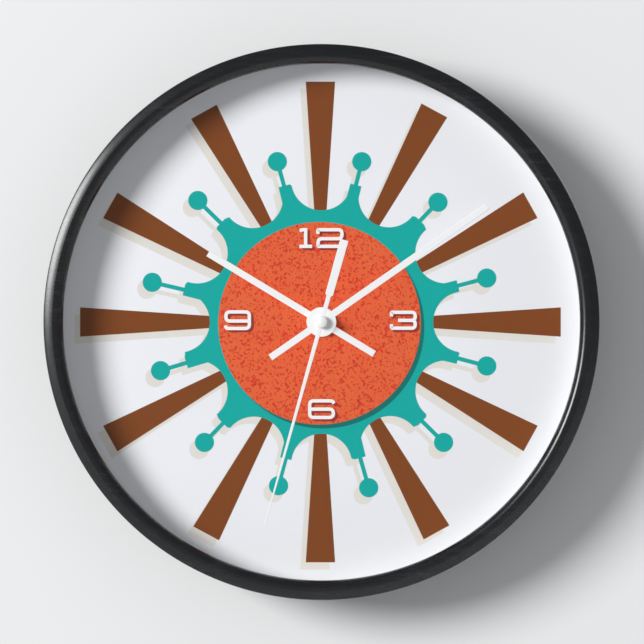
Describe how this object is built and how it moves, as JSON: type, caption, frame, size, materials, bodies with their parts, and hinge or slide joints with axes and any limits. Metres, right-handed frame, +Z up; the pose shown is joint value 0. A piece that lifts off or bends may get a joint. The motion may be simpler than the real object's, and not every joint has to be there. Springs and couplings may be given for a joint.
{
  "type": "wall clock",
  "caption": "Round wall clock: wooden ring frame, clear lens, flat printed dial, baton hands and a geared battery quartz movement that hangs on a nail.",
  "frame": {"origin": "point of the wall that carries the clock: the top of the hanger's keyhole slot, in the plane of the wall", "axes": "+Z up, dial facing -Y, +Y into the wall, +X to the right of the dial; the hands turn about +Y, 52 mm below the origin"},
  "size_m": [0.254, 0.04, 0.254],
  "materials": {
    "black_stained_wood": "satin black stain",
    "clear_acrylic": "clear, polished",
    "spacer_board": "matt white",
    "dial_paper": "matt printed paper",
    "backing_fibreboard": "raw hardboard",
    "point_steel": "bare steel",
    "zinc_plated_steel": "zinc plated",
    "black_rubber": "matt",
    "brass": "turned",
    "black_plastic": "moulded, fine grain",
    "white_acetal": "moulded",
    "magnet_ferrite": "sintered",
    "soft_iron": "stamped",
    "bobbin_nylon": "moulded",
    "enamelled_copper": "wound wire",
    "circuit_laminate": "solder mask",
    "black_epoxy": "potting drop",
    "crystal_can": "drawn can",
    "spring_steel": "bright",
    "nickel_plate": "nickel plated",
    "cell_jacket": "plain foil jacket",
    "white_painted_aluminium": "matt white paint"
  },
  "bodies": {
    "clock_body": {"frame": "black_stained_wood", "lens": "clear_acrylic", "spacer_ring": "spacer_board", "dial": "dial_paper", "backing_board": "backing_fibreboard", "retaining_point_1": "point_steel", "retaining_point_2": "point_steel", "retaining_point_3": "point_steel", "retaining_point_4": "point_steel", "retaining_point_5": "point_steel", "retaining_point_6": "point_steel", "hanger_plate": "zinc_plated_steel", "gasket": "black_rubber", "washer": "brass", "hex_nut": "brass", "movement_case": "black_plastic", "middle_plate": "white_acetal", "movement_cover": "black_plastic", "stator": "soft_iron", "coil_core": "soft_iron", "coil_bobbin": "bobbin_nylon", "coil_winding": "enamelled_copper", "circuit_board": "circuit_laminate", "controller_chip": "black_epoxy", "quartz_crystal": "crystal_can", "positive_contact": "nickel_plate", "negative_contact": "nickel_plate"},
    "seconds": {"seconds_wheel": "white_acetal", "seconds_hand": "white_painted_aluminium"},
    "minutes": {"minute_arbor": "white_acetal", "centre_wheel": "white_acetal", "clutch_spring": "spring_steel", "minute_hand": "white_painted_aluminium"},
    "hours": {"hour_wheel": "white_acetal", "hour_hand": "white_painted_aluminium"},
    "motion_work": {"motion_wheel": "white_acetal"},
    "third": {"third_wheel": "white_acetal"},
    "intermediate": {"intermediate_wheel": "white_acetal"},
    "rotor": {"rotor_pinion": "white_acetal", "rotor_magnet": "magnet_ferrite"},
    "knob": {"setting_knob": "black_plastic"},
    "battery": {"battery": "cell_jacket"}
  },
  "joints": [
    {"name": "seconds_spin", "type": "hinge", "parent": "clock_body", "child": "seconds", "pos_m": [0, -0.012, -0.052], "axis": [0, 1, 0], "continuous": true},
    {"name": "minutes_spin", "type": "hinge", "parent": "clock_body", "child": "minutes", "pos_m": [0, -0.012, -0.052], "axis": [0, 1, 0], "continuous": true},
    {"name": "hours_spin", "type": "hinge", "parent": "clock_body", "child": "hours", "pos_m": [0, -0.012, -0.052], "axis": [0, 1, 0], "continuous": true},
    {"name": "motion_spin", "type": "hinge", "parent": "clock_body", "child": "motion_work", "pos_m": [-0.00808, -0.012, -0.05494], "axis": [0, 1, 0], "continuous": true},
    {"name": "third_spin", "type": "hinge", "parent": "clock_body", "child": "third", "pos_m": [-0.00936, -0.012, -0.04661], "axis": [0, 1, 0], "continuous": true},
    {"name": "intermediate_spin", "type": "hinge", "parent": "clock_body", "child": "intermediate", "pos_m": [0.00272, -0.012, -0.04186], "axis": [0, 1, 0], "continuous": true},
    {"name": "rotor_spin", "type": "hinge", "parent": "clock_body", "child": "rotor", "pos_m": [0.01158, -0.012, -0.04029], "axis": [0, 1, 0], "continuous": true},
    {"name": "knob_spin", "type": "hinge", "parent": "clock_body", "child": "knob", "pos_m": [-0.01782, -0.012, -0.05666], "axis": [0, 1, 0], "continuous": true},
    {"name": "battery_lift", "type": "slide", "parent": "clock_body", "child": "battery", "axis": [0, 1, 0], "range_m": [0, 0.018]}
  ],
  "couplings": [
    {"joint": "intermediate_spin", "follows": "seconds_spin", "ratio": -6},
    {"joint": "rotor_spin", "follows": "seconds_spin", "ratio": 30},
    {"joint": "third_spin", "follows": "seconds_spin", "ratio": -0.13333},
    {"joint": "minutes_spin", "follows": "seconds_spin", "ratio": 0.016667},
    {"joint": "motion_spin", "follows": "seconds_spin", "ratio": -0.0055556},
    {"joint": "hours_spin", "follows": "seconds_spin", "ratio": 0.0013889},
    {"joint": "knob_spin", "follows": "seconds_spin", "ratio": 0.010417}
  ]
}
